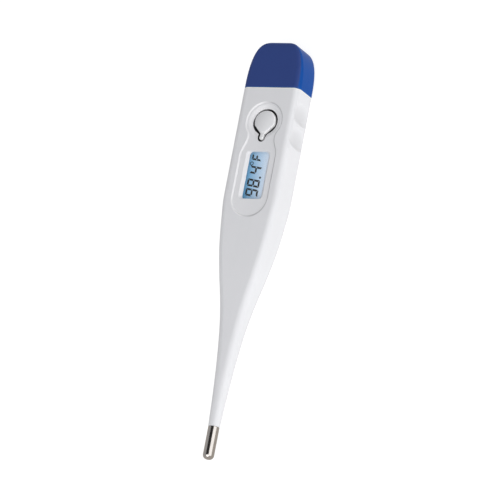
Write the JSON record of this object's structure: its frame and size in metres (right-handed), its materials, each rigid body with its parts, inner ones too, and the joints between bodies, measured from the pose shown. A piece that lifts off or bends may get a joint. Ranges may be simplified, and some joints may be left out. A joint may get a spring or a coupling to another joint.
{
  "type": "digital thermometer",
  "caption": "Pen-shaped digital fever thermometer with a metal probe tip, a display window, a round press key and a pull-off battery cap.",
  "frame": {"origin": "under the middle of the thermometer's length and width, on the plane of its flat back", "axes": "+Y from the probe tip towards the battery cap, +Z out of the display and the key, +X to the right with the probe tip pointing at the reader"},
  "size_m": [0.0186, 0.1272, 0.01],
  "materials": {
    "white_abs": "fine satin moulding, very slightly cool white",
    "blue_plastic": "dense blue moulding with a satin gloss",
    "black_rubber": "soft matt black",
    "polished_steel": "bright drawn stainless steel",
    "potting_resin": "cast resin",
    "black_epoxy": "glossy cast epoxy",
    "enamelled_copper": "lacquered copper wire",
    "clear_lens": "clear moulded acrylic",
    "grey_foam": "thin die-cut foam tape",
    "display_film": "blue-grey optical film",
    "display_glass": "thin clear glass with ground edges",
    "white_frame": "plain matt moulding",
    "board_laminate": "green solder mask over fibreglass",
    "chip_black": "glazed body with tinned ends",
    "chip_tan": "fired ceramic with tinned ends",
    "spring_steel": "thin nickelled sheet",
    "brass_sheet": "plain rolled sheet",
    "piezo_ceramic": "silvered ceramic disc"
  },
  "bodies": {
    "case": {"case_shell": "white_abs", "probe_tip": "polished_steel", "tip_potting": "potting_resin", "thermistor_bead": "black_epoxy", "sensor_lead_left": "enamelled_copper", "sensor_lead_right": "enamelled_copper", "display_lens": "clear_lens", "lens_gasket": "grey_foam", "lcd_polariser": "display_film", "lcd_front_glass": "display_glass", "lcd_rear_glass": "display_glass", "lcd_reflector": "display_film", "zebra_strip": "black_rubber", "inner_frame": "white_frame", "circuit_board": "board_laminate", "chip_blob": "black_epoxy", "chip_resistor_1": "chip_black", "chip_resistor_2": "chip_black", "chip_resistor_3": "chip_black", "chip_capacitor_1": "chip_tan", "chip_capacitor_2": "chip_tan", "snap_dome": "spring_steel", "frame_screw": "polished_steel", "buzzer_plate": "brass_sheet", "buzzer_ceramic": "piezo_ceramic", "buzzer_lead_1": "enamelled_copper", "buzzer_lead_2": "enamelled_copper", "button_cell": "polished_steel", "contact_plus": "spring_steel", "contact_minus": "spring_steel"},
    "key": {"power_key": "white_abs"},
    "cap": {"battery_cap": "blue_plastic", "cap_seal": "black_rubber"}
  },
  "joints": [
    {"name": "key_press", "type": "hinge", "parent": "case", "child": "key", "pos_m": [0, 0.0316, 0.00825], "axis": [-1, 0, 0], "range_deg": [0, 2.4], "stiffness_Nm_per_rad": 0.4, "springref_deg": -0.29, "deforming": ["snap_dome"]},
    {"name": "cap_pull", "type": "slide", "parent": "case", "child": "cap", "axis": [0, 1, 0], "range_m": [0, 0.03]}
  ]
}
